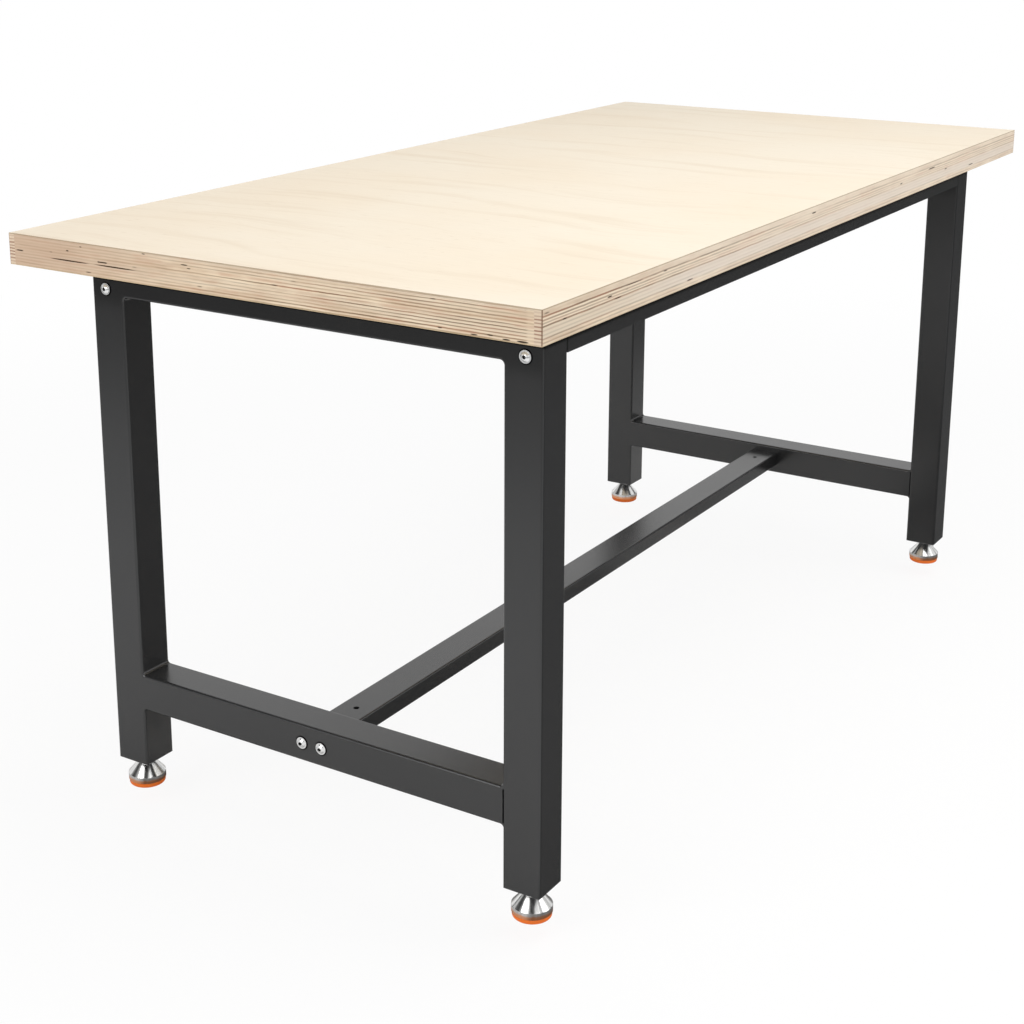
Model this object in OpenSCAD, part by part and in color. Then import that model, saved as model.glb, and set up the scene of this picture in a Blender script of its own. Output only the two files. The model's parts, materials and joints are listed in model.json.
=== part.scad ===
// Workbench: plywood top on a bolted and welded steel tube frame with levelling feet.
// The origin is on the floor under the middle of the top, +X along the bench, -Y to the front.

/* [Overall] */
// Length of the worktop
top_length = 1860; // [1200:10:2400]
// Depth of the worktop, front to back
top_depth = 892; // [600:1:1100]
// Thickness of the worktop
top_thick = 46; // [42:1:60]
// Height of the worktop's upper face above the floor
bench_height = 900; // [700:5:1100]
// How far the worktop reaches past the frame at each end
end_overhang = 102; // [20:1:200]
// How far the worktop reaches past the frame at front and back
side_overhang = 58; // [20:1:120]
// Broken edge all round the worktop
top_chamfer = 0.8; // [0.2:0.1:3]

/* [Legs] */
// Side of the square leg tube
leg_size = 60; // [56:1:80]
// Wall of the leg tube
leg_wall = 3; // [2:0.5:5]
// Outer corner radius of the leg tube
leg_corner = 4; // [3:0.5:8]
// Thickness of the plate that closes the foot of the leg
foot_plate_thick = 5; // [3:1:10]
// Chamfer round the underside of that plate
foot_plate_chamfer = 1.5; // [0.5:0.1:2.5]

/* [End frames] */
// Height of the top rail of an end frame
top_rail_height = 56; // [50:1:80]
// Wall of the top rail and of the stretcher
rail_wall = 3; // [2:0.5:5]
// Outer corner radius of the top rail and of the stretcher
rail_corner = 4; // [3:0.5:8]
// Radius of the blended weld under the top rail at each leg
top_weld_radius = 7; // [3:0.5:15]
// Radius of the blended welds over and under the stretcher at each leg
low_weld_radius = 5; // [3:0.5:12]
// Height of the stretcher
stretcher_height = 58; // [40:1:80]
// Height of the stretcher's upper face above the floor
stretcher_top = 200; // [150:5:400]

/* [Long rails] */
// Height of the long rail's outer web
angle_height = 50; // [50:1:70]
// Depth of the long rail's top flange
angle_depth = 50; // [46:1:56]
// Thickness of the long rail
angle_thick = 4; // [3:0.5:5]
// Radius inside the fold of the long rail
angle_fold = 4; // [1:0.5:5]
// Thickness of the plate welded into each end of a long rail
end_plate_thick = 5; // [4:0.5:8]
// How far that plate reaches below the web's lower edge
end_plate_drop = 11; // [9:1:14]
// Space between the end plate's inner edge and the flange's inner edge
end_plate_setback = 2; // [0:0.5:4]

/* [Centre beam] */
// Width of the beam
beam_width = 58; // [52:1:80]
// Height of the beam
beam_height = 28; // [25:1:50]
// Wall of the beam
beam_wall = 2.5; // [1.5:0.5:3]
// Outer corner radius of the beam
beam_corner = 3; // [2:0.5:6]
// How far the beam's upper face lies under the stretcher's
beam_step = 14; // [8:1:20]
// Diameter of the two holes in the beam's upper face
shelf_hole = 9; // [5:0.5:12]
// Distance of those holes from the beam's ends
shelf_hole_inset = 50; // [30:1:120]
// Thickness of the plate that closes each end of the beam
beam_plate_thick = 5; // [4:0.5:8]

/* [Bolts and nuts] */
// Thread diameter of the frame bolts
bolt_size = 8; // [6:1:8]
// Clearance hole for a frame bolt
bolt_hole = 9; // [8.5:0.5:10]
// Diameter of the flange under the bolt's head
bolt_flange = 17.8; // [16:0.1:18]
// Thickness of that flange at its rim
bolt_flange_thick = 1.2; // [0.8:0.1:2]
// Diameter of the button head at the flange
bolt_head = 14; // [12:0.5:15]
// Height of the head with its flange
bolt_head_height = 4.4; // [4:0.1:5]
// Width across the flats of the bolt's socket
bolt_socket = 5; // [4:0.5:6]
// Depth of the socket
bolt_socket_depth = 2.6; // [2:0.1:3]
// How far a bolt stands out past its nut
bolt_past_nut = 3.5; // [1:0.5:8]
// Distance between the two bolts of a pair
bolt_pitch = 35; // [34:0.5:36]
// Height of a pair's upper bolt under the worktop
bolt_drop = 11; // [11:0.5:12]
// Distance of the leg bolts from the frame's long faces
bolt_inset = 27; // [25:1:32]
// Width across the flats of a frame nut
nut_flats = 13; // [12:0.5:13.5]
// Thickness of a frame nut
nut_thick = 6.5; // [5:0.5:9]
// Gap between a thread and its nut, each side
thread_gap = 0.05; // [0.02:0.01:0.1]

/* [Wood screws] */
// Shank diameter of a wood screw
screw_size = 5; // [4:0.5:6]
// Length of a wood screw under its head
screw_length = 36; // [20:1:38]
// Diameter of its head
screw_head = 10; // [8:0.5:12]
// Height of its head
screw_head_height = 3.5; // [2:0.5:5]
// Width of the socket in its head
screw_socket = 4; // [3:0.5:5]
// Depth of that socket
screw_socket_depth = 1.8; // [1:0.1:1.9]
// Length of its point
screw_point = 5; // [3:0.5:8]
// Number of wood screws in each long rail
screws_per_rail = 4; // [2:1:8]
// Distance of the first and last screw from the rail's ends
screw_end_inset = 168; // [60:1:300]
// Clearance round the screw in the rail's flange
screw_clearance = 0.5; // [0.2:0.1:1]

/* [Levelling feet] */
// Gap from the floor to the underside of the leg's plate
foot_height = 46; // [46:1:80]
// Radius of the foot's metal rim
rim_radius = 29.2; // [24.5:0.1:40]
// Height of the vertical rim
rim_height = 10.5; // [5:0.5:12]
// Radius of the neck at the top of the cone
neck_radius = 10; // [9:0.5:14]
// Height of the straight neck
neck_height = 3; // [1:0.5:5]
// Gap between the neck and the leg's plate
neck_gap = 3.5; // [3:0.5:6]
// Radius of the pad
pad_radius = 28.2; // [24:0.1:42]
// Thickness of the pad under the rim
pad_thick = 8; // [5:0.5:12]
// Rounding of the pad's lower edge
pad_round = 3; // [1:0.5:4]
// Thread diameter of the stud
stud_size = 12; // [10:1:14]
// How far the stud reaches above its nut
stud_reach = 35; // [32:1:80]
// Radius of the collar at the stud's lower end
collar_radius = 9.5; // [8:0.5:12]
// Height of the collar
collar_height = 6; // [4:0.5:8]
// Radius of the disc that closes the cone's underside, which the collar turns on
disc_radius = 22; // [16:0.5:24]
// Thickness of that disc
disc_thick = 3; // [2:0.5:4]
// Running clearance round the stud and collar, each side
run_gap = 0.08; // [0.03:0.01:0.1]
// Play above the collar
collar_play = 0.3; // [0.1:0.1:1]
// Width across the two flats for a spanner
stud_flats = 10; // [8:0.5:11]
// Height of those flats
stud_flats_height = 6; // [4:0.5:10]
// Width across the flats of the stud's nut
foot_nut_flats = 19; // [17:0.5:24]
// Thickness of the stud's nut
foot_nut_thick = 10; // [8:0.5:16]
// Hole for the stud in the leg's plate
foot_plate_hole = 13; // [12.5:0.5:16]

/* [Hidden] */
$fn = 64;
small = 0.01;

coat = "#3c3d3f";
bright = "#c9ccce";
ply = "#e9d3b0";
orange = "#e4692a";

// Frame planes and centres
underside = bench_height - top_thick;
frame_x = top_length / 2 - end_overhang;
frame_y = top_depth / 2 - side_overhang;
leg_x = frame_x - leg_size / 2;
leg_y = frame_y - leg_size / 2;
inner_x = frame_x - leg_size;
inner_y = frame_y - leg_size;
leg_bottom = foot_height + foot_plate_thick;
bolt_y = frame_y - bolt_inset;
upper_bolt_z = underside - bolt_drop;
lower_bolt_z = upper_bolt_z - bolt_pitch;
beam_bolt_z = stretcher_top - stretcher_height / 2;
beam_top = stretcher_top - beam_step;
beam_end = inner_x - beam_plate_thick;
bolt_length = leg_size + end_plate_thick + nut_thick + bolt_past_nut;
screw_z = underside - angle_thick;
screw_span = 2 * (inner_x - screw_end_inset);
screw_xs = [for (i = [0 : screws_per_rail - 1]) (i / (screws_per_rail - 1) - 0.5) * screw_span];

// Levels in a levelling foot, from the floor up
rim_top = pad_thick + rim_height;
collar_bottom = pad_thick + disc_thick;
collar_top = collar_bottom + collar_height;
neck_top = foot_height - neck_gap;
neck_bottom = neck_top - neck_height;
stud_top = leg_bottom + foot_nut_thick + stud_reach;
edge_break = 0.6;
stud_chamfer = 1;
bolt_chamfer = 0.8;

// A nut's bevel, as a share of its width
nut_bevel = 0.06;

// How much of a blended weld's reach is kept, so that it doesn't end in a knife edge
weld_share = 0.85;

// A rectangle with round corners, centred
module rounded(w, h, r) {
    square([w - 2 * r, h], center = true);
    square([w, h - 2 * r], center = true);
    for (x = [-1, 1], y = [-1, 1])
        translate([x * (w / 2 - r), y * (h / 2 - r)]) circle(r = r);
}

// The section of a box tube
module tube_section(w, h, wall, r) {
    difference() {
        rounded(w, h, r);
        rounded(w - 2 * wall, h - 2 * wall, max(r - wall, edge_break));
    }
}

// A rectangle with cut corners, centred
module cut_rectangle(w, h, c) {
    polygon([
        [-w / 2 + c, -h / 2], [w / 2 - c, -h / 2], [w / 2, -h / 2 + c], [w / 2, h / 2 - c],
        [w / 2 - c, h / 2], [-w / 2 + c, h / 2], [-w / 2, h / 2 - c], [-w / 2, -h / 2 + c]
    ]);
}

// A box with all its edges broken, centred in plan, standing on z = 0
module broken_box(l, w, h, c) {
    translate([0, 0, h / 2])
        intersection() {
            linear_extrude(h, center = true) cut_rectangle(l, w, c);
            rotate([90, 0, 0]) linear_extrude(w, center = true) cut_rectangle(l, h, c);
            rotate([90, 0, 90]) linear_extrude(l, center = true) cut_rectangle(w, h, c);
        }
}

// Lays what stands along +Z down along +X, so that its x becomes y and its y becomes z
module along_x() {
    rotate([90, 0, 90]) children();
}

// Lays what stands along +Z down along Y, so that its x stays x and its y becomes z
module along_y() {
    rotate([90, 0, 0]) children();
}

module at_corners() {
    for (x = [-1, 1], y = [-1, 1]) translate([x * leg_x, y * leg_y, 0]) children();
}

// The two bolts of each corner, seen from the leg's outer face
module at_corner_bolts() {
    for (side = [0, 1], y = [-bolt_y, bolt_y], z = [lower_bolt_z, upper_bolt_z])
        mirror([side, 0, 0]) translate([-frame_x, y, z]) children();
}

module at_beam_bolts() {
    for (side = [0, 1], y = [-bolt_pitch / 2, bolt_pitch / 2])
        mirror([side, 0, 0]) translate([-frame_x, y, beam_bolt_z]) children();
}

module worktop() {
    color(ply) difference() {
        translate([0, 0, underside]) broken_box(top_length, top_depth, top_thick, top_chamfer);
        for (x = screw_xs, y = [-bolt_y, bolt_y])
            translate([x, y, underside - 1])
                cylinder(d = screw_size + 2 * thread_gap, h = screw_length - angle_thick + 2);
    }
}

module leg(x, y) {
    color(coat) difference() {
        translate([x * leg_x, y * leg_y, leg_bottom])
            linear_extrude(underside - leg_bottom) tube_section(leg_size, leg_size, leg_wall, leg_corner);
        for (z = [lower_bolt_z, upper_bolt_z])
            translate([x * leg_x, y * bolt_y, z])
                along_x() cylinder(d = bolt_hole, h = leg_size + 2, center = true);
    }
}

module foot_plate(x, y) {
    edge = leg_size / 2;
    c = foot_plate_chamfer;
    color(coat) translate([x * leg_x, y * leg_y, foot_height]) difference() {
        linear_extrude(foot_plate_thick) rounded(leg_size, leg_size, leg_corner);
        for (a = [0 : 90 : 270])
            rotate([0, 0, a]) along_x() linear_extrude(2 * leg_size, center = true)
                polygon([[edge - c, -small], [edge + 1, -small], [edge + 1, c + 1]]);
        translate([0, 0, -1]) cylinder(d = foot_plate_hole, h = foot_plate_thick + 2);
    }
}

module top_rail(x) {
    color(coat) translate([x * leg_x, 0, underside - top_rail_height / 2])
        along_y() linear_extrude(2 * inner_y, center = true)
            tube_section(leg_size, top_rail_height, rail_wall, rail_corner);
}

// What a weld's grinding takes away: a spool with its axis along X, flared like the tubes' round edges
module weld_spool(radius) {
    flat = leg_size / 2 - leg_corner;
    rotate([0, 90, 0]) rotate_extrude() difference() {
        translate([0, -leg_size / 2 - 1]) square([radius + leg_corner, leg_size + 2]);
        translate([radius, -flat]) square([leg_corner + 1, 2 * flat]);
        for (side = [-1, 1]) translate([radius + leg_corner, side * flat]) circle(r = leg_corner);
    }
}

// A rail's weld to a leg. The leg fills y < 0, the rail y > 0, and z = 0 is the rail's middle
module corner_weld(height, radius, sides, seam) {
    inset = weld_share * leg_corner;
    reach = weld_share * radius;
    color(coat) difference() {
        union() {
            for (side = sides)
                translate([0, (reach - inset) / 2, side * (height + reach - inset) / 2])
                    cube([leg_size, reach + inset, reach + inset], center = true);
            if (seam) along_y() linear_extrude(inset) rounded(leg_size, height, rail_corner);
        }
        for (side = sides) translate([0, radius, side * (height / 2 + radius)]) weld_spool(radius);
        translate([0, -leg_size / 2, 0])
            linear_extrude(2 * height, center = true) rounded(leg_size, leg_size, leg_corner);
        translate([0, leg_size, 0])
            along_y() linear_extrude(leg_size) rounded(leg_size, height, rail_corner);
    }
}

module corner_welds() {
    for (x = [-1, 1], back = [0, 1]) mirror([0, back, 0]) {
        translate([x * leg_x, -inner_y, underside - top_rail_height / 2])
            corner_weld(top_rail_height, top_weld_radius, [-1], true);
        translate([x * leg_x, -inner_y, stretcher_top - stretcher_height / 2])
            corner_weld(stretcher_height, low_weld_radius, [-1, 1], back == 1);
    }
}

module stretcher(x) {
    color(coat) difference() {
        translate([x * leg_x, 0, stretcher_top - stretcher_height / 2])
            along_y() linear_extrude(2 * inner_y, center = true)
                tube_section(leg_size, stretcher_height, rail_wall, rail_corner);
        for (y = [-bolt_pitch / 2, bolt_pitch / 2])
            translate([x * leg_x, y, beam_bolt_z])
                along_x() cylinder(d = bolt_hole, h = leg_size + 2, center = true);
    }
}

// An angle with its web outside and its flange under the worktop
module long_rail(side) {
    hollow_y = angle_depth - angle_thick;
    hollow_z = angle_height - angle_thick;
    color(coat) difference() {
        mirror([0, side, 0]) translate([0, -frame_y, underside - angle_height])
            along_x() linear_extrude(2 * inner_x, center = true) difference() {
                square([angle_depth, angle_height]);
                translate([angle_thick, -1]) square([hollow_y + 1, hollow_z + 1 - angle_fold]);
                translate([angle_thick + angle_fold, -1]) square([hollow_y, hollow_z + 1]);
                translate([angle_thick + angle_fold, hollow_z - angle_fold]) circle(r = angle_fold);
            }
        for (x = screw_xs, y = [-bolt_y, bolt_y])
            translate([x, y, screw_z - 1])
                cylinder(d = screw_size + 2 * screw_clearance, h = angle_thick + 2);
    }
}

// The plate in the end of a long rail. Its lower outer corner is cut away behind the web
module end_plate(x, y) {
    outer = frame_y - angle_thick;
    inner = frame_y - angle_depth + end_plate_setback;
    low = underside - angle_height - end_plate_drop;
    slope_end = outer - 1.6 * end_plate_drop;
    color(coat) mirror([x > 0 ? 1 : 0, 0, 0]) mirror([0, y > 0 ? 1 : 0, 0]) difference() {
        translate([-inner_x, 0, 0]) along_x() linear_extrude(end_plate_thick) difference() {
            polygon([
                [-outer, underside - angle_height], [-outer, screw_z], [-inner, screw_z],
                [-inner, low], [-slope_end, low]
            ]);
            translate([-outer, screw_z]) rotate(-45) square(2.2 * angle_fold, center = true);
        }
        for (z = [lower_bolt_z, upper_bolt_z])
            translate([-inner_x, -bolt_y, z])
                along_x() cylinder(d = bolt_hole, h = 4 * end_plate_thick, center = true);
    }
}

module centre_beam() {
    color(coat) difference() {
        translate([0, 0, beam_top - beam_height / 2])
            along_x() linear_extrude(2 * beam_end, center = true)
                tube_section(beam_width, beam_height, beam_wall, beam_corner);
        for (x = [-1, 1])
            translate([x * (inner_x - shelf_hole_inset), 0, beam_top - beam_wall - 1])
                cylinder(d = shelf_hole, h = beam_wall + 2);
    }
}

module beam_plate(x) {
    color(coat) difference() {
        translate([x * (beam_end + beam_plate_thick / 2), 0, beam_top - beam_height / 2])
            along_x() linear_extrude(beam_plate_thick, center = true)
                rounded(beam_width, beam_height, beam_corner);
        for (y = [-bolt_pitch / 2, bolt_pitch / 2])
            translate([x * inner_x, y, beam_bolt_z])
                along_x() cylinder(d = bolt_hole, h = 4 * beam_plate_thick, center = true);
    }
}

// A round crown of a screw's head, from its flat face at z = 0 down to -h
module crown(d, h) {
    r = (d * d / 4 + h * h) / (2 * h);
    intersection() {
        translate([0, 0, r - h]) sphere(r = r);
        translate([0, 0, -h]) cylinder(d = d, h = h);
    }
}

// A flanged button-head bolt: the flange's face is at x = 0 and the shank runs along +X
module bolt(length) {
    color(bright) along_x() difference() {
        union() {
            cylinder(d = bolt_size, h = length - bolt_chamfer);
            translate([0, 0, length - bolt_chamfer])
                cylinder(d1 = bolt_size, d2 = bolt_size - 2 * bolt_chamfer, h = bolt_chamfer);
            translate([0, 0, -bolt_flange_thick]) cylinder(d = bolt_flange, h = bolt_flange_thick);
            translate([0, 0, -bolt_flange_thick]) crown(bolt_head, bolt_head_height - bolt_flange_thick);
        }
        translate([0, 0, -bolt_head_height - 1])
            cylinder(d = bolt_socket / cos(30), h = bolt_socket_depth + 1, $fn = 6);
    }
}

// A nut standing on z = 0, with its six corners bevelled at both ends
module nut(flats, thick, bore) {
    bevel = nut_bevel * flats;
    color(bright) difference() {
        intersection() {
            cylinder(d = flats / cos(30), h = thick, $fn = 6);
            rotate_extrude() polygon([
                [0, 0], [flats / 2, 0], [flats / 2 + 2 * bevel, bevel],
                [flats / 2 + 2 * bevel, thick - bevel],
                [flats / 2, thick], [0, thick]
            ]);
        }
        translate([0, 0, -1]) cylinder(d = bore, h = thick + 2);
    }
}

module corner_bolts() {
    at_corner_bolts() bolt(bolt_length);
}

module rail_nuts() {
    at_corner_bolts() translate([leg_size + end_plate_thick, 0, 0])
        along_x() nut(nut_flats, nut_thick, bolt_size + 2 * thread_gap);
}

module beam_bolts() {
    at_beam_bolts() bolt(bolt_length);
}

module beam_nuts() {
    at_beam_bolts() translate([leg_size + beam_plate_thick, 0, 0])
        along_x() nut(nut_flats, nut_thick, bolt_size + 2 * thread_gap);
}

module foot_nuts() {
    at_corners() translate([0, 0, leg_bottom]) nut(foot_nut_flats, foot_nut_thick, stud_size + 2 * run_gap);
}

module top_screws() {
    for (x = screw_xs, y = [-bolt_y, bolt_y])
        color(bright) translate([x, y, screw_z]) {
            difference() {
                crown(screw_head, screw_head_height);
                translate([0, 0, -screw_head_height - 1])
                    cylinder(d = screw_socket / cos(30), h = screw_socket_depth + 1, $fn = 6);
            }
            cylinder(d = screw_size, h = screw_length - screw_point);
            translate([0, 0, screw_length - screw_point])
                cylinder(d1 = screw_size, d2 = edge_break, h = screw_point);
        }
}

module stud(x, y) {
    r = stud_size / 2;
    color(bright) translate([x * leg_x, y * leg_y, 0]) difference() {
        rotate_extrude() polygon([
            [0, collar_bottom], [collar_radius, collar_bottom], [collar_radius, collar_top], [r, collar_top],
            [r, stud_top - stud_chamfer], [r - stud_chamfer, stud_top], [0, stud_top]
        ]);
        for (a = [0, 180])
            rotate([0, 0, a]) translate([stud_flats / 2, -stud_size, neck_top + neck_gap / 2])
                cube([stud_size, 2 * stud_size, stud_flats_height]);
    }
}

module cone(x, y) {
    bore = stud_size / 2 + run_gap;
    pocket = collar_radius + run_gap;
    color(bright) translate([x * leg_x, y * leg_y, 0]) rotate_extrude() polygon([
        [disc_radius, pad_thick], [rim_radius, pad_thick], [rim_radius, rim_top - edge_break],
        [rim_radius - edge_break, rim_top], [neck_radius, neck_bottom], [neck_radius, neck_top - edge_break],
        [neck_radius - edge_break, neck_top], [bore, neck_top], [bore, collar_top + collar_play],
        [pocket, collar_top + collar_play], [pocket, collar_bottom], [disc_radius, collar_bottom]
    ]);
}

module disc(x, y) {
    color(bright) translate([x * leg_x, y * leg_y, pad_thick])
        cylinder(r = disc_radius - thread_gap, h = disc_thick);
}

module pad(x, y) {
    color(orange) translate([x * leg_x, y * leg_y, 0]) rotate_extrude() {
        square([pad_radius - pad_round, pad_thick]);
        translate([0, pad_round]) square([pad_radius, pad_thick - pad_round]);
        translate([pad_radius - pad_round, pad_round]) circle(r = pad_round);
    }
}

worktop();
leg(-1, -1);  // front_left_leg
leg(-1, 1);  // back_left_leg
leg(1, -1);  // front_right_leg
leg(1, 1);  // back_right_leg
foot_plate(-1, -1);  // front_left_foot_plate
foot_plate(-1, 1);  // back_left_foot_plate
foot_plate(1, -1);  // front_right_foot_plate
foot_plate(1, 1);  // back_right_foot_plate
top_rail(-1);  // left_top_rail
top_rail(1);  // right_top_rail
stretcher(-1);  // left_stretcher
stretcher(1);  // right_stretcher
corner_welds();
long_rail(0);  // front_rail
long_rail(1);  // back_rail
end_plate(-1, -1);  // front_left_end_plate
end_plate(-1, 1);  // back_left_end_plate
end_plate(1, -1);  // front_right_end_plate
end_plate(1, 1);  // back_right_end_plate
centre_beam();
beam_plate(-1);  // left_beam_plate
beam_plate(1);  // right_beam_plate
corner_bolts();
rail_nuts();
beam_bolts();
beam_nuts();
foot_nuts();
top_screws();
stud(-1, -1);  // front_left_stud
stud(-1, 1);  // back_left_stud
stud(1, -1);  // front_right_stud
stud(1, 1);  // back_right_stud
cone(-1, -1);  // front_left_cone
cone(-1, 1);  // back_left_cone
cone(1, -1);  // front_right_cone
cone(1, 1);  // back_right_cone
disc(-1, -1);  // front_left_disc
disc(-1, 1);  // back_left_disc
disc(1, -1);  // front_right_disc
disc(1, 1);  // back_right_disc
pad(-1, -1);  // front_left_pad
pad(-1, 1);  // back_left_pad
pad(1, -1);  // front_right_pad
pad(1, 1);  // back_right_pad
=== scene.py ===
"""The workbench's looks: plywood top, powder-coated steel frame, plated fasteners, turned feet."""
import json
import math

import bmesh
import bpy
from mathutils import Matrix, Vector


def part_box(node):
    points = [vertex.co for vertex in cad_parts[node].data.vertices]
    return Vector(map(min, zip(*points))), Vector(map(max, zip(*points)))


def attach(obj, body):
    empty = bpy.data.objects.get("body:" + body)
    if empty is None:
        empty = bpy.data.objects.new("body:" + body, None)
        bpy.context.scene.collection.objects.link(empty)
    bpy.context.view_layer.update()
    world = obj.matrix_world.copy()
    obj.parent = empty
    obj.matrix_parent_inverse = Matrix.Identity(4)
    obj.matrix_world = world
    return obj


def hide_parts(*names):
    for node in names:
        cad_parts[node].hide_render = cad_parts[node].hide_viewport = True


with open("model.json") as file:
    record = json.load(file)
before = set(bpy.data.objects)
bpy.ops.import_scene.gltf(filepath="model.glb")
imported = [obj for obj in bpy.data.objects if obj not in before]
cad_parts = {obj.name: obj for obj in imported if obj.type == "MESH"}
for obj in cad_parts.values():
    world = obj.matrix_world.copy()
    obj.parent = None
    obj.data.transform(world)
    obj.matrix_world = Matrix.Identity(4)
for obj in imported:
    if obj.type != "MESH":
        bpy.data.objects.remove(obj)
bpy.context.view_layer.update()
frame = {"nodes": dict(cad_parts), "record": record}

CORNERS = ("front_left", "back_left", "front_right", "back_right")
TOP_LOW, TOP_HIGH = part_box("worktop")
TOP_THICK = TOP_HIGH.z - TOP_LOW.z
FOOT_LOW, FOOT_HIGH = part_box("back_right_cone")
FOOT_X, FOOT_Y = (FOOT_LOW.x + FOOT_HIGH.x) / 2, (FOOT_LOW.y + FOOT_HIGH.y) / 2
# Radius of a screw head's flange
FLANGE = 0.0089
# How far below its place at rest a pad lies when its foot is screwed right out
FOOT_TRAVEL = 0.0298


# Building blocks

# Sockets of a Mix node that mixes colours, which share their names with its other kinds
MIX_SHARE, MIX_FIRST, MIX_SECOND, MIX_RESULT = 0, 6, 7, 2


def grey(tone):
    return (tone, tone, tone)


def add_object(name, data):
    """A new object in the scene."""
    thing = bpy.data.objects.new(name, data)
    bpy.context.scene.collection.objects.link(thing)
    return thing


def add_mesh(name, mesh):
    """A new object in the scene, from a finished bmesh."""
    data = bpy.data.meshes.new(name)
    mesh.to_mesh(data)
    mesh.free()
    return add_object(name, data)


class Wire:
    """A socket in a finish. Arithmetic on it adds Math nodes."""

    def __init__(self, finish, socket):
        self.finish, self.socket = finish, socket

    def math(self, operation, *values):
        return self.finish.node("ShaderNodeMath", {"operation": operation}, [self, *values])

    def __add__(self, other):
        return self.math("ADD", other)

    def __sub__(self, other):
        return self.math("SUBTRACT", other)

    def __rsub__(self, other):
        return self.finish.node("ShaderNodeMath", {"operation": "SUBTRACT"}, [other, self])

    def __mul__(self, other):
        return self.math("MULTIPLY", other)

    def __truediv__(self, other):
        return self.math("DIVIDE", other)

    def __gt__(self, other):
        return self.math("GREATER_THAN", other)

    def __lt__(self, other):
        return self.math("LESS_THAN", other)

    def __abs__(self):
        return self.math("ABSOLUTE")

    __radd__, __rmul__ = __add__, __mul__


class Finish:
    """A node tree, built up one node at a time."""

    def __init__(self, tree):
        self.tree = tree
        tree.nodes.clear()

    def node(self, kind, settings=None, values=None, output=0):
        """Adds a node: its settings, then the values or wires of its sockets, then one output."""
        node = self.tree.nodes.new(kind)
        for name, value in (settings or {}).items():
            setattr(node, name, value)
        for name, value in values.items() if isinstance(values, dict) else enumerate(values or ()):
            if isinstance(value, Wire):
                self.tree.links.new(value.socket, node.inputs[name])
            else:
                node.inputs[name].default_value = value
        return Wire(self, node.outputs[output]) if node.outputs else None

    def parts(self, vector):
        """The x, y and z of a vector."""
        split = self.node("ShaderNodeSeparateXYZ", {}, [vector]).socket.node
        return [Wire(self, socket) for socket in split.outputs]

    def point(self, x, y, z=0.0):
        return self.node("ShaderNodeCombineXYZ", {}, [x, y, z])

    def noise(self, place, detail=2.0, roughness=0.5, scale=1.0):
        """Noise from 0 to 1, with so many grains to one unit of the place."""
        return self.node("ShaderNodeTexNoise", {}, {
            "Vector": place, "Scale": scale, "Detail": detail, "Roughness": roughness})

    def ramp(self, value, start, end, low=0.0, high=1.0):
        """A smooth change from low to high as the value goes from start to end."""
        return self.node("ShaderNodeMapRange", {"interpolation_type": "SMOOTHSTEP"},
                         [value, start, end, low, high])

    def chance(self, number):
        """A number from 0 to 1 that belongs to a whole number."""
        return self.node("ShaderNodeTexWhiteNoise", {"noise_dimensions": "1D"}, {"W": number})

    def mix(self, share, first, second):
        """Two colours mixed by a share."""
        first, second = [c if isinstance(c, Wire) else (*c, 1.0) for c in (first, second)]
        return self.node("ShaderNodeMix", {"data_type": "RGBA"},
                         {MIX_SHARE: share, MIX_FIRST: first, MIX_SECOND: second}, MIX_RESULT)

    def stops(self, value, colours):
        """A colour from a row of stops, each with its position and its colour."""
        wire = self.node("ShaderNodeValToRGB", {}, [value])
        row = wire.socket.node.color_ramp.elements
        while len(row) < len(colours):
            row.new(1.0)
        for stop, (position, colour) in zip(row, colours):
            stop.position, stop.color = position, (*colour, 1.0)
        return wire

    def facing(self):
        """The x, y and z of the way a surface faces."""
        return self.parts(self.node("ShaderNodeTexCoord", output="Normal"))

    def from_foot(self, x, y):
        """How far a place lies from its quarter's foot: along x, along y and in all."""
        across, along = x - x.math("SIGN") * FOOT_X, y - y.math("SIGN") * FOOT_Y
        return across, along, (across * across + along * along).math("SQRT")

    def from_bolts(self, y, z, name):
        """Distance from the nearest bolt of a group, seen along the bolts."""
        low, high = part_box(name)
        rise = max(0.0, (high.z - low.z) / 2 - FLANGE)
        across = abs(y) - (high.y - FLANGE)
        up = abs(z - (low.z + high.z) / 2) - rise
        return (across * across + up * up).math("SQRT")

    def bump(self, height, distance, strength=1.0, edges=0.0):
        """The surface's normal over a relief. Edges sharper than the given radius look broken."""
        sockets = {"Height": height, "Distance": distance, "Strength": strength}
        if edges:
            sockets["Normal"] = self.node("ShaderNodeBevel", {"samples": 6}, {"Radius": edges})
        return self.node("ShaderNodeBump", {}, sockets)

    def openness(self, reach):
        """1 on an open surface, less down in a socket, a slot or where two parts meet."""
        return self.node("ShaderNodeAmbientOcclusion", {"samples": 12}, {"Distance": reach}, "AO")


def surface(name, sockets, build):
    """A material with one Principled shader: its constants, then what its build function varies."""
    material = bpy.data.materials.new(name)
    material.use_nodes = True
    finish = Finish(material.node_tree)
    place = finish.node("ShaderNodeTexCoord", output="Object")
    shader = finish.node("ShaderNodeBsdfPrincipled", {}, {**sockets, **build(finish, place)})
    finish.node("ShaderNodeOutputMaterial", {}, [shader])
    return material


# Plywood

# Mean thickness of a ply on the short edges
PLY_PITCH = 0.0043
# Thickness of the two face veneers as the edges show them
VENEER = 0.0017
# Width of the core strip whose end shows at each end of a short edge, and thickness of its layers
STRIP = 0.012
STRIP_PITCH = 0.0046
# Heights over the underside: where the strip's layers show most, the long edges' pale band between
# dark lines, and their pale middle veneers
STRIP_MIDDLE, PALE_BAND, PALE_CORE = 0.021, 0.0305, 0.0165
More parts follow.
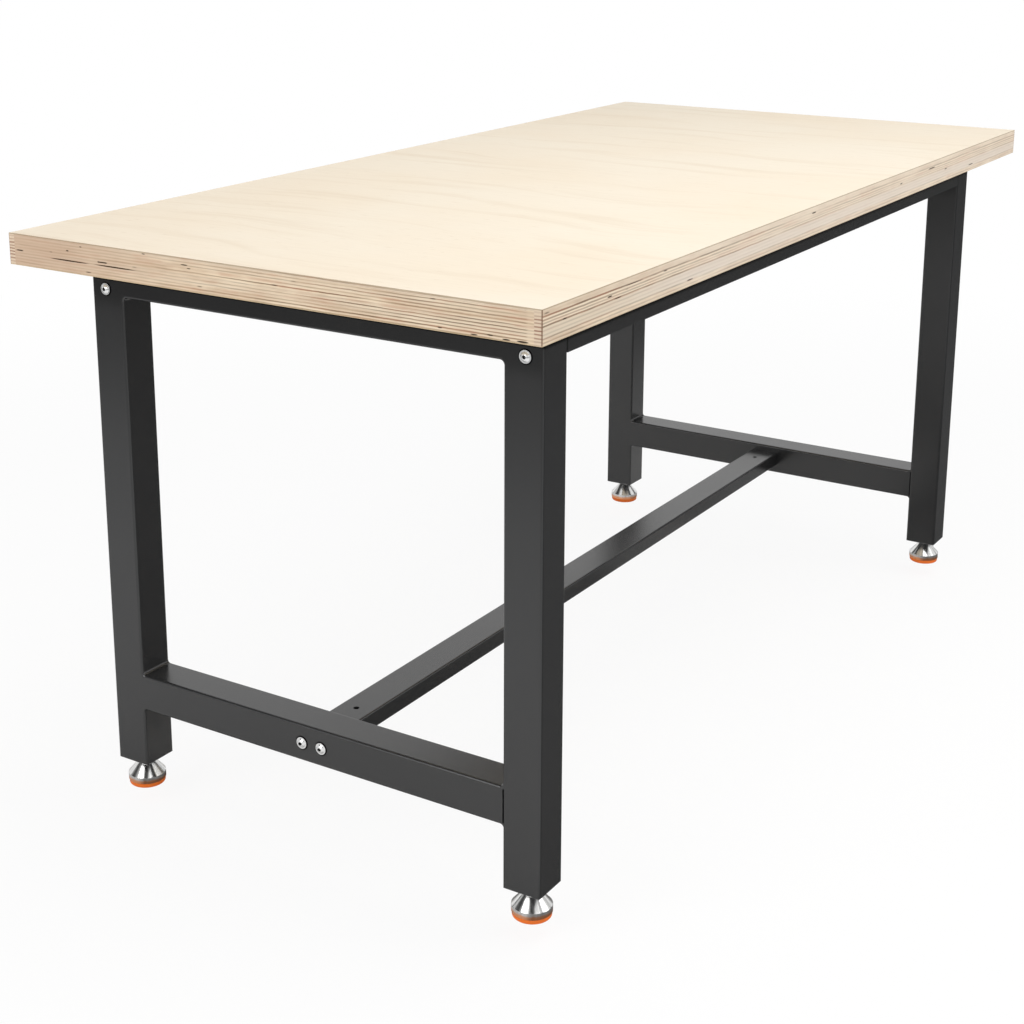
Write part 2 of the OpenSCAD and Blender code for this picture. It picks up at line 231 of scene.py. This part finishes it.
# The long edges' dark lines: height over the underside, and strength
LONG_LINES = ((0.0366, 1.0), (0.0322, 0.8), (0.0284, 0.6), (0.0247, 1.0),
              (0.0198, 0.30), (0.0145, 0.25), (0.0095, 0.7), (0.0046, 0.5))
# Large splits: place along the edge, height over the underside, length and thickness
LEFT_SPLITS = (
    (0.327, 0.0178, 0.084, 0.0022), (0.240, 0.0182, 0.086, 0.0023), (0.330, 0.0320, 0.006, 0.0020),
    (0.304, 0.0402, 0.005, 0.0014), (0.186, 0.0432, 0.007, 0.0013), (0.113, 0.0363, 0.014, 0.0018),
    (0.105, 0.0322, 0.008, 0.0014), (-0.419, 0.0031, 0.019, 0.0027),
    (-0.373, 0.0053, 0.010, 0.0018), (-0.396, 0.0029, 0.013, 0.0021),
    (-0.350, 0.0030, 0.012, 0.0018), (-0.300, 0.0050, 0.008, 0.0016))
FRONT_SPLITS = (
    (-0.8775, 0.0247, 0.012, 0.0018), (-0.765, 0.0298, 0.014, 0.0022),
    (-0.744, 0.0242, 0.022, 0.0015), (-0.700, 0.0358, 0.055, 0.0012),
    (0.434, 0.0338, 0.040, 0.0022), (0.657, 0.0120, 0.030, 0.0020))


class CutEdge:
    """A place on the top's cut edges, with what all its layers share."""

    def __init__(self, wood, x, y, height, short, long):
        self.wood, self.x, self.y, self.height = wood, x, y, height
        self.short, self.long = short, long
        self.along = x * long + y * short
        wander = self.grain(2.2, height * 22.0)
        ripple = self.grain(26.0, height * 70.0)
        count = height / PLY_PITCH + wander * 0.6 + ripple * 0.30 - 0.25
        self.ply = count.math("FLOOR")
        self.from_middle = abs(count - self.ply - 0.5)
        self.from_glue = abs(count - self.ply - 0.02)
        self.level = height + (wander - 0.5) * 0.003 + (ripple - 0.5) * 0.0012
        self.tone = wood.chance(self.ply + short * 27.0)
        self.fibre = self.grain(24.0, height * 1000.0, roughness=0.6)
        self.drift = self.grain(5.0, self.ply * 3.7, 5.0, 3.0, 0.6)
        self.warmth = self.grain(14.0, self.ply * 2.9, 7.0)

    def grain(self, stretch, across, seed=0.0, detail=2.0, roughness=0.5):
        """Noise drawn out along the edge, not the same on the short edges as on the long ones."""
        place = self.wood.point(self.along * stretch, across, self.short * 3.0 + seed)
        return self.wood.noise(place, detail, roughness)


def bare_plies(wood, edge):
    """The plies' colour: bleached, reddened and streaked, with painted light toning each edge: the
    long edges paler towards the right, the short edges darker towards the back.
    """
    tan, cream = (0.645, 0.482, 0.332), (0.840, 0.690, 0.505)
    bleached, russet, streak = (0.815, 0.700, 0.550), (0.640, 0.400, 0.275), (0.430, 0.305, 0.205)
    painted_lit_end, painted_shaded_end = (0.840, 0.765, 0.680), (0.550, 0.385, 0.275)
    blotch = edge.grain(11.0, edge.height * 55.0, 2.0, 3.0, 0.6)
    colour = wood.mix(wood.ramp(blotch, 0.32, 0.68), tan, cream)
    colour = wood.mix(wood.ramp(edge.tone + edge.drift * 0.6, 0.55, 1.25) * 0.65, colour, bleached)
    colour = wood.mix(wood.ramp(edge.warmth, 0.54, 0.70) * 0.45, colour, russet)
    colour = wood.mix(wood.ramp(edge.fibre, 0.42, 0.72) * 0.30, colour, streak)
    # Painted light: the long edges paler and greyer, most towards the right.
    colour = wood.mix(edge.long * wood.ramp(edge.x, -0.90, -0.40, 0.12, 0.38), colour, painted_lit_end)
    # Painted shade: the short edges darker towards the back.
    return wood.mix(edge.short * wood.ramp(edge.y, 0.02, 0.40) * 0.75, colour, painted_shaded_end)


def dark_lines(wood, edge):
    """The plies' dark lines: one a ply on the short edges, at set heights on the long ones."""
    line = edge.short * wood.ramp(edge.from_middle, 0.26, 0.08)
    line = line * (wood.chance(edge.ply + 31.0) * 0.5 + 0.65)
    for at, weight in LONG_LINES:
        seen = edge.long * weight * wood.ramp(abs(edge.level - at), 0.0016, 0.0005)
        line = line.math("MAXIMUM", seen)
    return line


def pale_core(wood, edge):
    """The pale middle veneers of the long edges: where they are, and their colour."""
    shade, light, yellow = (0.700, 0.605, 0.505), (0.835, 0.750, 0.660), (0.735, 0.620, 0.455)
    colour = wood.mix(edge.fibre, shade, light)
    colour = wood.mix(wood.ramp(edge.x, -0.50, -0.85) * 0.6, colour, yellow)
    return edge.long * wood.ramp(abs(edge.height - PALE_CORE), 0.0078, 0.0056), colour


def corner_strip(wood, edge, from_corner):
    """The end of the core strip at each corner of the short edges: where it is, and its colour."""
    shade, light, layer_line = (0.690, 0.540, 0.400), (0.800, 0.670, 0.520), (0.270, 0.105, 0.070)
    row = edge.height / STRIP_PITCH + edge.grain(30.0, edge.height * 90.0, 1.0, 1.0) * 0.6
    layer = row.math("FLOOR")
    line = wood.ramp(abs(row - layer - 0.5), 0.30, 0.10)
    line = line * wood.ramp(abs(edge.height - STRIP_MIDDLE), 0.019, 0.011, 0.30, 1.0)
    line = line * (wood.chance(layer + 50.0) * 0.4 + 0.6)
    colour = wood.mix(line, wood.mix(edge.fibre, shade, light), layer_line)
    return edge.short * wood.ramp(from_corner, STRIP, STRIP - 0.0016), colour


def splits(wood, edge):
    """Where the edges are split: small gaps by chance, and thin lenses for the large splits."""
    gap = wood.ramp(edge.grain(16.0, edge.ply * 5.3, 9.0, 1.0), 0.70, 0.74)
    gap = gap * wood.ramp(edge.from_middle, 0.28, 0.14)
    left, front = edge.short * (edge.x < 0), edge.long * (edge.y < 0)
    for side, along, large in ((left, edge.y, LEFT_SPLITS), (front, edge.x, FRONT_SPLITS)):
        for at, level, length, thick in large:
            run, rise = (along - at) * (2 / length), (edge.height - level) * (2 / thick)
            gap = gap.math("MAXIMUM", side * wood.ramp(run * run + rise * rise, 1.0, 0.45))
    return gap


def edge_plies(wood, edge):
    """The colour of the cut edges, and how far their dark lines are hollowed out."""
    beside_line, fine_line = (0.930, 0.800, 0.620), (0.260, 0.140, 0.085)
    line_brown, line_red = (0.175, 0.110, 0.066), (0.330, 0.160, 0.095)
    corner_line, split = (0.200, 0.115, 0.070), (0.024, 0.010, 0.005)
    upper_veneer, lower_veneer = (0.290, 0.225, 0.140), (0.640, 0.500, 0.290)
    short, long, height = edge.short, edge.long, edge.height

    # Lines stand out near the front left corner and soften away from it
    near = short * wood.ramp(edge.y, 0.34, -0.26, 0.28, 1.0)
    near = near + long * wood.ramp(edge.x, -0.10, -0.75, 0.50, 1.0)
    strong = wood.ramp(edge.drift, 0.34, 0.62, 0.25, 1.0) * near
    strong = strong.math("MAXIMUM", long * wood.ramp(edge.x, -0.45, -0.85) * 0.9)

    between = short * wood.ramp(edge.from_middle, 0.30, 0.44) * strong
    between = between + long * wood.ramp(abs(edge.level - PALE_BAND), 0.0075, 0.0055) * strong
    colour = wood.mix(between * 0.55, bare_plies(wood, edge), beside_line)
    pale, pale_colour = pale_core(wood, edge)
    colour = wood.mix(pale * 0.82, colour, pale_colour)

    # Next to a core strip the wood is plainer
    from_corner = TOP_HIGH.y - abs(edge.y)
    plain = short * wood.ramp(from_corner, STRIP + 0.012, STRIP + 0.006)
    line = dark_lines(wood, edge) * strong * (1 - 0.75 * plain)
    fine = short * wood.ramp(edge.from_glue, 0.09, 0.02) * wood.ramp(edge.tone, 0.3, 0.9) * near
    line_colour = wood.mix(wood.ramp(edge.warmth, 0.42, 0.62), line_brown, line_red)
    colour = wood.mix(line * 0.90, colour, line_colour)
    colour = wood.mix(fine * (1 - plain) * 0.60, colour, fine_line)
    strip, strip_colour = corner_strip(wood, edge, from_corner)
    colour = wood.mix(strip * 0.9, colour, strip_colour)

    # A dark line down each upright corner, and the cut edges of the two face veneers
    corner = TOP_HIGH.x + TOP_HIGH.y
    corner = wood.ramp(abs(edge.x) + abs(edge.y), corner - 0.0018, corner - 0.0009)
    colour = wood.mix(corner * 0.8, colour, corner_line)
    upper = wood.ramp(height, TOP_THICK - VENEER, TOP_THICK - 0.4 * VENEER)
    colour = wood.mix(upper * 0.65, colour, upper_veneer)
    lower = wood.ramp(height, 1.4 * VENEER, 0.5 * VENEER)
    colour = wood.mix(lower * 0.45, colour, lower_veneer)
    return wood.mix(splits(wood, edge) * 0.95, colour, split), line * 0.4


def face_veneer(wood, x, y):
    """The colour of the two faces: pale veneer with its grain across the bench, faintly clouded."""
    light, warm = (0.845, 0.765, 0.640), (0.835, 0.735, 0.595)
    figure_tan, fleck_brown = (0.70, 0.575, 0.425), (0.56, 0.43, 0.29)
    fibre_tan = (0.66, 0.55, 0.42)
    bend = wood.noise(wood.point(x * 2.2, y * 1.4, 3.0))
    figure = wood.noise(wood.point(x * 26.0 + bend * 7.0, y * 1.9, 1.0), 4.0, 0.55)
    fibre = wood.noise(wood.point(x * 420.0, y * 16.0, 2.0), 2.0, 0.6)
    fleck = wood.noise(wood.point(x * 260.0, y * 34.0, 5.0), 1.0)
    cloud = wood.noise(wood.point(x * 2.6, y * 2.0, 7.0), 3.0)
    colour = wood.mix(wood.ramp(cloud, 0.35, 0.68), light, warm)
    colour = wood.mix(wood.ramp(figure, 0.50, 0.72) * 0.30, colour, figure_tan)
    colour = wood.mix(wood.ramp(fleck, 0.68, 0.78) * 0.30, colour, fleck_brown)
    colour = wood.mix(wood.ramp(fibre, 0.35, 0.75) * 0.14, colour, fibre_tan)
    return colour, fibre, figure


def birch_plywood(wood, place):
    """Unvarnished birch plywood: face veneers above and below, cut plies all round."""
    x, y, z = wood.parts(place)
    facing_x, facing_y, facing_z = [abs(part) for part in wood.facing()]
    edge = CutEdge(wood, x, y, z - TOP_LOW.z, facing_x > 0.6, facing_y > 0.6)
    on_edge = facing_z < 0.9
    edge_colour, hollow = edge_plies(wood, edge)
    face_colour, fibre, figure = face_veneer(wood, x, y)
    relief = (1 - hollow) * on_edge + (fibre * 0.06 + 0.9) * (1 - on_edge)
    return {"Base Color": wood.mix(on_edge, face_colour, edge_colour),
            "Roughness": 0.66 + 0.06 * figure,
            "Normal": wood.bump(relief, 0.0003)}


# Coat, metals and rubber

def charcoal_coat(coat, place, edges=0.0):
    """Satin powder coat: a fine orange peel, and painted black shade round bolt heads and under the
    top.
    """
    x, y, z = coat.parts(place)
    peel = coat.noise(place, 1.5, scale=620.0)
    cloud = coat.noise(place, 3.0, scale=7.0)
    end_face = abs(coat.facing()[0]) > 0.9
    from_bolt = coat.from_bolts(y, z, "corner_bolts")
    from_bolt = from_bolt.math("MINIMUM", coat.from_bolts(y, z, "beam_bolts"))
    # Painted shade: a black ring round each bolt head on the end faces.
    ring = end_face * coat.ramp(from_bolt, FLANGE + 0.0028, FLANGE + 0.0012)
    down = TOP_LOW.z - z
    # Painted shade: the end faces darken towards the top's underside, where its overhang shades
    # them, and every face goes nearly black within 31 mm of the underside.
    painted_overhang_shade = 0.21 * coat.ramp(down, 0.082, 0.052) + 0.18 * coat.ramp(down, 0.300, 0.060)
    shade = (end_face * painted_overhang_shade).math("MAXIMUM", 0.80 * coat.ramp(down, 0.035, 0.031))
    # All the painted shade together: it turns the coat black in colour and shine alike.
    painted_shade = ring.math("MAXIMUM", shade)
    colour = coat.mix(cloud, (0.0135, 0.0138, 0.0144), (0.0180, 0.0183, 0.0190))
    return {"Base Color": coat.mix(painted_shade, colour, grey(0.002)),
            "Metallic": painted_shade,
            "Roughness": 0.21 + 0.08 * cloud,
            "Normal": coat.bump(peel, 0.00006, 0.6, edges=edges)}


def coat_on_angle(coat, place):
    """The same coat on the folded rails, whose sheared edges are broken and catch the light."""
    return charcoal_coat(coat, place, edges=0.0028)


def zinc_plate(zinc, place):
    """Bright zinc on bolts, nuts and screws, slightly uneven in shine, with painted shade darkening
    the sockets.
    """
    cloud = zinc.noise(place, 3.0, scale=190.0)
    speck = zinc.noise(place, 1.0, scale=1500.0)
    # Painted shade: the colour goes nearly black where the sockets are enclosed, and the shine
    # duller.
    hollow = zinc.ramp(zinc.openness(0.006), 0.86, 0.50)
    colour = zinc.mix(cloud, (0.78, 0.79, 0.80), (0.93, 0.93, 0.92))
    return {"Base Color": zinc.mix(hollow, colour, (0.015, 0.015, 0.017)),
            "Roughness": 0.15 + 0.14 * cloud + 0.25 * hollow,
            "Normal": zinc.bump(speck, 0.00002, edges=0.0003)}


def turned_steel(steel, place):
    """Polished steel from the lathe, its colour in lighter and darker wedges round each foot's axis
    as a painted reflection of the studio's panels. The cone's flared lower edge has a painted
    reflection of the orange pad under it.
    """
    x, y, z = steel.parts(place)
    across, along, radius = steel.from_foot(x, y)
    turn = along.math("ARCTAN2", across)
    # Painted reflection: wedges round the axis stand in for the panels that the cone mirrors.
    streak = steel.noise(steel.point(turn * 5.0, z * 12.0), 3.0, 0.7)
    ring = steel.noise(steel.point(z * 5200.0, 0.0))
    haze = steel.noise(place, scale=60.0)
    colour = steel.mix(steel.ramp(streak, 0.30, 0.70), (0.60, 0.60, 0.595), (0.86, 0.86, 0.85))
    # Painted reflection of the orange pad, on the cone's flared lower edge.
    painted_pad_reflection = (radius > 0.0285) * steel.ramp(z + streak * 0.006, 0.0185, 0.0140)
    return {"Base Color": steel.mix(painted_pad_reflection * 0.85, colour, (0.92, 0.34, 0.11)),
            "Roughness": 0.15 + 0.06 * haze + 0.02 * ring,
            "Normal": steel.bump(ring, 0.0000012, edges=0.0004)}


def orange_rubber(pad, place):
    """Moulded orange rubber, a little uneven in gloss."""
    cloud = pad.noise(place, 3.0, scale=80.0)
    grain = pad.noise(place, 1.0, scale=1800.0)
    return {"Base Color": pad.mix(cloud, (0.86, 0.155, 0.014), (0.96, 0.215, 0.024)),
            "Roughness": 0.30 + 0.14 * cloud,
            "Normal": pad.bump(grain, 0.00002)}


# Levelling studs

# Points round a stud
AROUND = 64
STUD_RADIUS = 0.006
COLLAR_HEIGHT = 0.006
# The two spanner flats: their ends' heights above the floor at rest, and half the width across them
FLATS_LOW, FLATS_HIGH, FLATS_HALF = 0.04775, 0.05375, 0.005
THREAD_PITCH = 0.00175
THREAD_DEPTH = 0.00095
# Plain neck between the flats and the thread
THREAD_START = 0.0012
# How far the crests lie inside the stud's radius, and the chamfer at its upper end
THREAD_PLAY = 0.0001
THREAD_CHAMFER = 0.001
# The thread's profile: share of a pitch and share of the depth at root, flank, crest and flank
THREAD_PROFILE = ((0.0, 1.0), (0.16, 1.0), (0.5, 0.0), (0.62, 0.0))


def round_point(mesh, centre, angle, radius, z, flats=None):
    """A point round a stud's axis. Between flats it is cut off at half their width."""
    x, y = radius * math.cos(angle), radius * math.sin(angle)
    if flats:
        x = max(-flats, min(flats, x))
    return mesh.verts.new((centre.x + x, centre.y + y, z))


def angle_of(i):
    """Point i's angle round the stud."""
    return 2 * math.pi * i / AROUND


def turned_ring(mesh, centre, radius, z, flats=None):
    """One level ring of points round a stud."""
    return [round_point(mesh, centre, angle_of(i), radius, z, flats) for i in range(AROUND)]


def join_rings(mesh, lower, upper):
    for i in range(AROUND):
        j = (i + 1) % AROUND
        mesh.faces.new((lower[i], lower[j], upper[j], upper[i]))


def thread_row(mesh, centre, bottom, top, turns, depth):
    """A row of points that climbs one pitch round the stud, and is held between bottom and top."""
    row = []
    for i in range(AROUND):
        z = max(bottom, min(top, bottom + (turns + i / AROUND) * THREAD_PITCH))
        run_out = min(1.0, (z - bottom) / (1.5 * THREAD_PITCH))
        cut = THREAD_PLAY + depth * THREAD_DEPTH * run_out
        radius = STUD_RADIUS - max(cut, z - top + THREAD_CHAMFER)
        row.append(round_point(mesh, centre, angle_of(i), radius, z))
    return row


def join_thread(mesh, rows):
    """The thread's faces. The end of each row meets the start of the row one turn further up."""
    turn = len(THREAD_PROFILE)
    for k in range(len(rows) - 1):
        for i in range(AROUND - 1):
            mesh.faces.new((rows[k][i], rows[k][i + 1], rows[k + 1][i + 1], rows[k + 1][i]))
        if k + turn + 1 < len(rows):
            mesh.faces.new((rows[k][-1], rows[k + turn][0], rows[k + turn + 1][0], rows[k + 1][-1]))


def threaded_stud(corner):
    """The foot's stud: its collar, a plain neck with two spanner flats, and a real cut thread."""
    low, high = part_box(corner + "_stud")
    centre = (low + high) / 2
    collar = (high.x - low.x) / 2
    mesh = bmesh.new()
    rings = [turned_ring(mesh, centre, radius, z, flats) for radius, z, flats in (
        (collar, low.z, None), (collar, low.z + COLLAR_HEIGHT, None),
        (STUD_RADIUS, low.z + COLLAR_HEIGHT, None), (STUD_RADIUS, FLATS_LOW, None),
        (STUD_RADIUS, FLATS_LOW, FLATS_HALF), (STUD_RADIUS, FLATS_HIGH, FLATS_HALF),
        (STUD_RADIUS, FLATS_HIGH, None))]
    mesh.faces.new(list(reversed(rings[0])))
    for lower, upper in zip(rings, rings[1:]):
        join_rings(mesh, lower, upper)

    bottom, top = FLATS_HIGH + THREAD_START, high.z
    last_turn = int((top - bottom) / THREAD_PITCH) + 3
    join_thread(mesh, [thread_row(mesh, centre, bottom, top, turn + share, depth)
                       for turn in range(-1, last_turn) for share, depth in THREAD_PROFILE])
    bmesh.ops.remove_doubles(mesh, verts=mesh.verts, dist=0.000002)
    bmesh.ops.dissolve_degenerate(mesh, edges=mesh.edges, dist=0.000002)
    bmesh.ops.holes_fill(mesh, edges=[e for e in mesh.edges if e.is_boundary])
    bmesh.ops.recalc_face_normals(mesh, faces=mesh.faces)
    stud = add_mesh(corner + "_threaded_stud", mesh)
    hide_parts(corner + "_stud")
    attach(stud, corner + "_screw")
    return stud


# Finishes on their pieces

COAT = {"Specular IOR Level": 0.68}
TURNED = {"Metallic": 1.0, "Anisotropic": 0.9, "Anisotropic Rotation": 0.25}
FINISHES = {
    "plywood": surface("birch_plywood", {"Specular IOR Level": 0.05}, birch_plywood),
    "frame_coat": surface("charcoal_powder_coat", COAT, charcoal_coat),
    "plated_steel": surface("zinc_plate", {"Metallic": 1.0}, zinc_plate),
    "foot_metal": surface("turned_steel", TURNED, turned_steel),
    "foot_pad": surface("orange_rubber", {"Specular IOR Level": 0.35}, orange_rubber),
}
ANGLE_COAT = surface("charcoal_coat_on_angle", COAT, coat_on_angle)
for part in frame["record"]["subparts"]:
    name = part["node"]
    on_angle = name in ("front_rail", "back_rail")
    materials = frame["nodes"][name].data.materials
    materials.clear()
    materials.append(ANGLE_COAT if on_angle else FINISHES[part["material_slot"]])
for corner in CORNERS:
    threaded_stud(corner).data.materials.append(FINISHES["foot_metal"])


# Studio

# Radius of the floor's disc, which reaches past the edges of every view
FLOOR_RADIUS = 60.0


def dark_mats(pale, x, y, clear):
    """Where metal sees a dark floor: by the front left leg, left of each foot, far to the left."""
    across, along, to_foot = pale.from_foot(x, y)
    mat = pale.ramp(x, -1.0, -0.75) * pale.ramp(y, 0.15, -0.05)
    mat = mat * pale.ramp(to_foot, 0.10, 0.16) * (1 - clear)
    left_of_foot = 0.86 * along - 0.51 * across
    by_foot = pale.ramp(left_of_foot, 0.085, 0.0, 0.2, 1.0) * pale.ramp(to_foot, 0.175, 0.150)
    return mat.math("MAXIMUM", by_foot).math("MAXIMUM", 0.5 * pale.ramp(x, -1.4, -3.2))


def studio_floor():
    """A wide pale floor, as low as the pads reach when the feet are screwed right out.

    It is white to the camera under a soft shadow. The coat and the feet mirror dark mats on it, and
    a patch under the bench's right half that glows in their reflections: painted light where the
    bench shades the floor.
    """
    mesh = bmesh.new()
    bmesh.ops.create_circle(mesh, cap_ends=True, radius=FLOOR_RADIUS, segments=96)
    floor = add_mesh("studio_floor", mesh)
    floor.location.z = -FOOT_TRAVEL
    material = bpy.data.materials.new("pale_floor")
    material.use_nodes = True
    pale = Finish(material.node_tree)
    x, y, _ = pale.parts(pale.node("ShaderNodeTexCoord", output="Object"))
    seen = pale.node("ShaderNodeLightPath", output="Is Camera Ray")
    mirrored = pale.node("ShaderNodeLightPath", output="Is Glossy Ray")
    # Painted light: under the bench's right half the floor keeps clear of the mats and glows in
    # reflections, where the bench shades it.
    clear = pale.ramp(x, -0.25, 0.0) * pale.ramp(x, 0.85, 0.76) * pale.ramp(y, -0.20, -0.12)
    clear = clear.math("MAXIMUM", 0.35 * pale.ramp(x, 0.38, 0.52) * pale.ramp(y, -0.37, -0.30))
    tint = pale.mix(dark_mats(pale, x, y, clear) * mirrored, grey(0.95), grey(0.20))
    away = (x * x + y * y).math("SQRT")
    # White glow to the camera, and in reflections the painted light of the patch under the bench.
    white = seen * pale.ramp(away, 1.3, 3.6, 0.90, 1.0) + 0.4 * clear * mirrored
    paint = pale.node("ShaderNodeBsdfDiffuse", {}, {"Color": tint})
    glow = pale.node("ShaderNodeEmission", {}, {"Color": (*grey(1.0), 1.0)})
    above = pale.node("ShaderNodeMixShader", {}, [white, paint, glow])
    below = pale.node("ShaderNodeBsdfTransparent")
    from_below = pale.node("ShaderNodeNewGeometry", output="Backfacing")
    shader = pale.node("ShaderNodeMixShader", {}, [from_below, above, below])
    pale.node("ShaderNodeOutputMaterial", {}, [shader])
    floor.data.materials.append(material)


def studio_surround():
    """White to the eye. Metal also mirrors the dark gaps between the studio's tall white panels."""
    world = bpy.data.worlds.new("studio")
    bpy.context.scene.world = world
    world.use_nodes = True
    room = Finish(world.node_tree)
    x, y, z = room.parts(room.node("ShaderNodeTexCoord", output="Generated"))
    turn = y.math("ARCTAN2", x) / (2 * math.pi) + 0.5
    white, light, mid, dark = grey(1.0), grey(0.6), grey(0.22), grey(0.03)
    panels = room.stops(turn, (
        (0.0, white), (0.024, white), (0.032, mid), (0.075, dark), (0.130, mid), (0.140, white),
        (0.235, white), (0.245, light), (0.275, light), (0.280, dark), (0.300, dark), (0.305, white),
        (0.400, white), (0.410, dark), (0.500, dark), (0.515, white), (0.690, white), (0.700, light),
        (0.780, light), (0.790, dark), (0.855, dark), (0.865, mid), (0.905, light), (0.915, white)))
    mirrored = room.mix(room.ramp(z, 0.26, 0.36), white, panels)
    glossy = room.node("ShaderNodeLightPath", output="Is Glossy Ray")
    camera = room.node("ShaderNodeLightPath", output="Is Camera Ray")
    seen = room.mix(camera, room.mix(glossy, grey(0.47), mirrored), white)
    room.node("ShaderNodeOutputWorld", {}, [room.node("ShaderNodeBackground", {}, {"Color": seen})])


def softbox(name, place, aim, width, height, power):
    data = bpy.data.lights.new(name, "AREA")
    data.shape, data.size, data.size_y, data.energy = "RECTANGLE", width, height, power
    lamp = add_object(name, data)
    lamp.location = place
    lamp.rotation_euler = (Vector(aim) - Vector(place)).to_track_quat("-Z", "Y").to_euler()


def photograph_camera():
    """The photograph's viewpoint, with a shifted lens that keeps the legs nearly upright."""
    data = bpy.data.cameras.new("camera")
    data.lens, data.sensor_width = 63.2, 36.0
    data.shift_x, data.shift_y = 0.0215, -0.158
    data.clip_end = 200.0
    camera = add_object("camera", data)
    camera.location = (-2.699, -1.499, 1.390)
    camera.rotation_euler = (math.radians(90.0 - 14.68), 0.0, math.radians(-57.52))
    bpy.context.scene.camera = camera


studio_floor()
studio_surround()
softbox("overhead_softbox", (-0.1, -0.9, 3.2), (-0.3, -0.3, 0.6), 3.0, 2.2, 48.5)
softbox("left_softbox", (-3.6, 0.6, 2.0), (-0.4, 0.0, 0.5), 2.0, 2.2, 41.0)
softbox("front_softbox", (0.8, -3.8, 2.2), (0.2, 0.0, 0.5), 2.4, 1.6, 37.0)
photograph_camera()
bpy.context.scene.view_settings.view_transform = "Standard"
